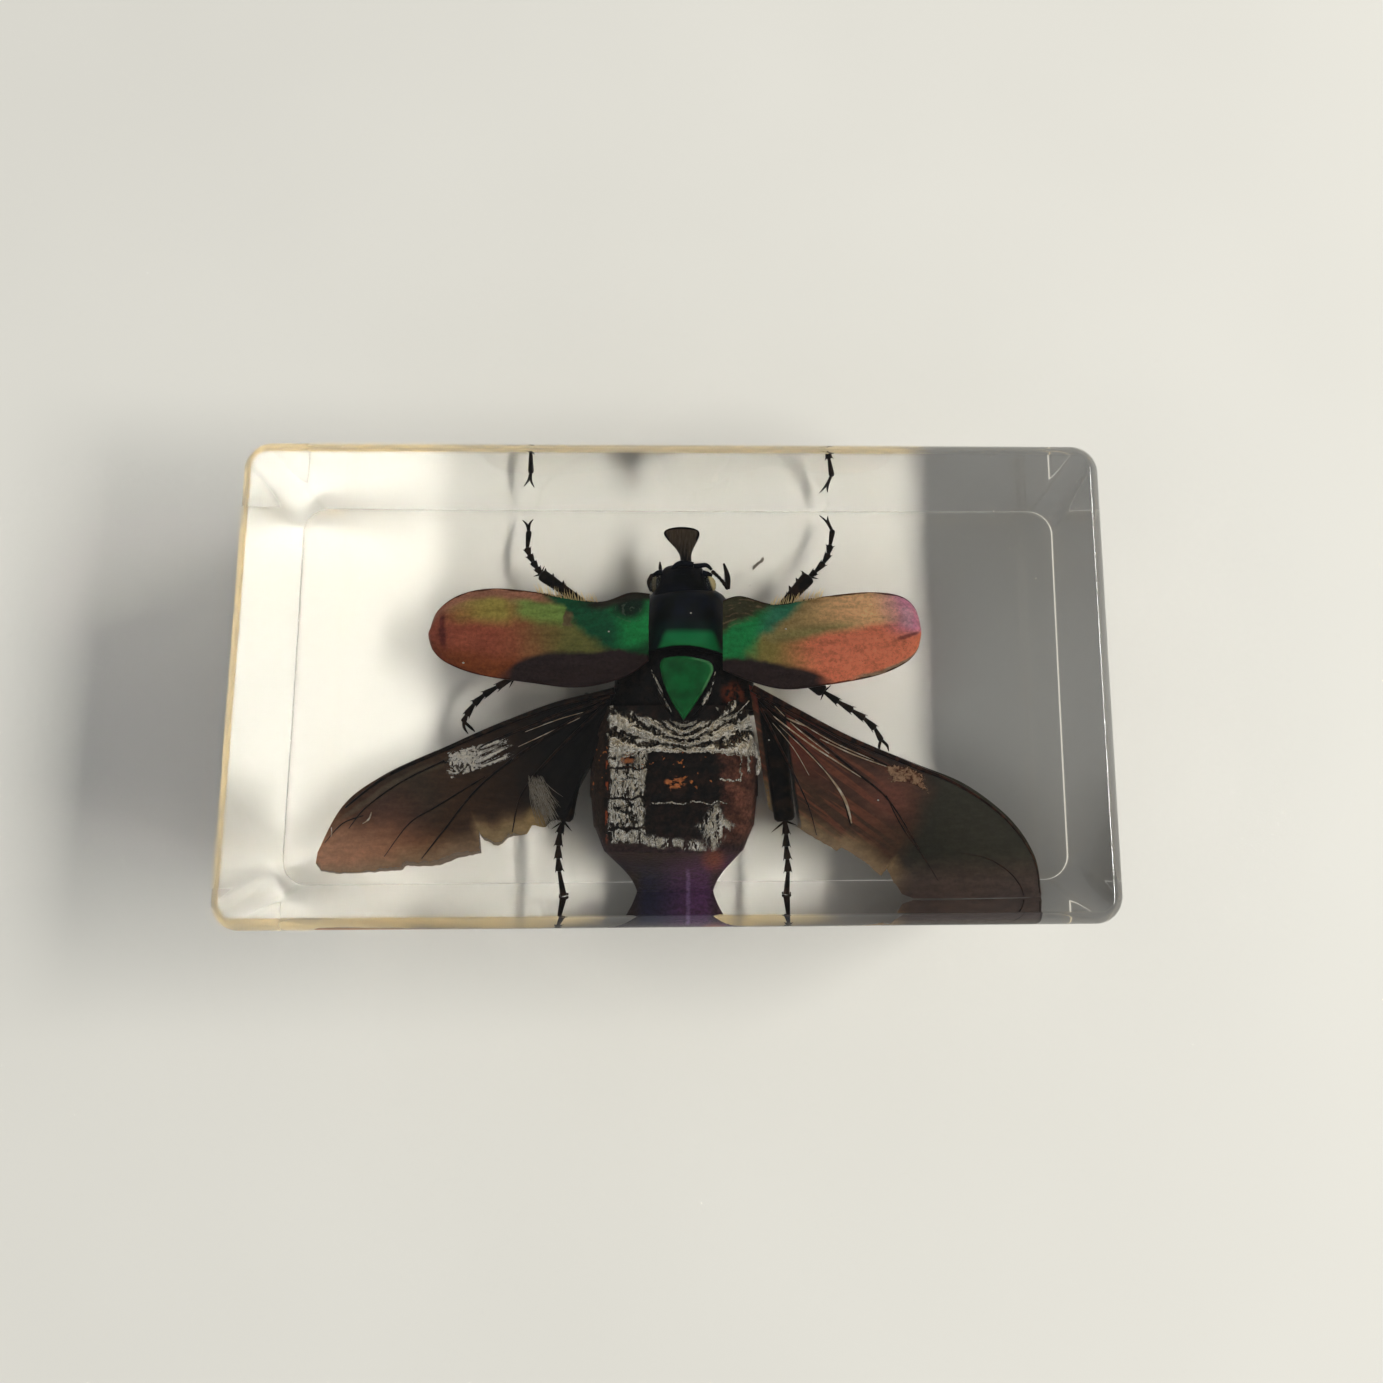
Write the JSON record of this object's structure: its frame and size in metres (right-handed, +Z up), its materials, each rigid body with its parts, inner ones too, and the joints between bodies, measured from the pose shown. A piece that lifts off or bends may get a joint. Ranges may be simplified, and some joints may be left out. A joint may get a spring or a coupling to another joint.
{
  "type": "insect in resin block",
  "caption": "Clear resin paperweight block with a horned metallic flower beetle sealed inside, its elytra and hindwings spread and its legs stretched out.",
  "frame": {"origin": "middle of the block's base, on the surface that it stands on", "axes": "+X along the block, +Y the way the beetle's head points, +Z up through the block"},
  "size_m": [0.073, 0.0402, 0.02],
  "materials": {
    "clear_resin": "polished clear casting resin",
    "dark_chitin": "blue-black beetle shell, glossy, green at the rear",
    "black_chitin": "black horny shell",
    "green_chitin": "metallic green shell",
    "elytron_chitin": "iridescent shell from green through olive to coral red",
    "abdomen_chitin": "red-brown plates under a silvery air film",
    "wing_membrane": "smoky brown veined membrane"
  },
  "bodies": {
    "root": {"resin_lower": "clear_resin", "resin_upper": "clear_resin", "head": "dark_chitin", "antenna_left": "black_chitin", "antenna_right": "black_chitin", "pronotum": "dark_chitin", "thorax": "black_chitin", "scutellum": "green_chitin", "abdomen": "abdomen_chitin", "elytron_left": "elytron_chitin", "elytron_right": "elytron_chitin", "hindwing_left": "wing_membrane", "hindwing_right": "wing_membrane", "leg_front_left": "black_chitin", "leg_front_right": "black_chitin", "leg_middle_left": "black_chitin", "leg_middle_right": "black_chitin", "leg_hind_left": "black_chitin", "leg_hind_right": "black_chitin"}
  },
  "joints": []
}
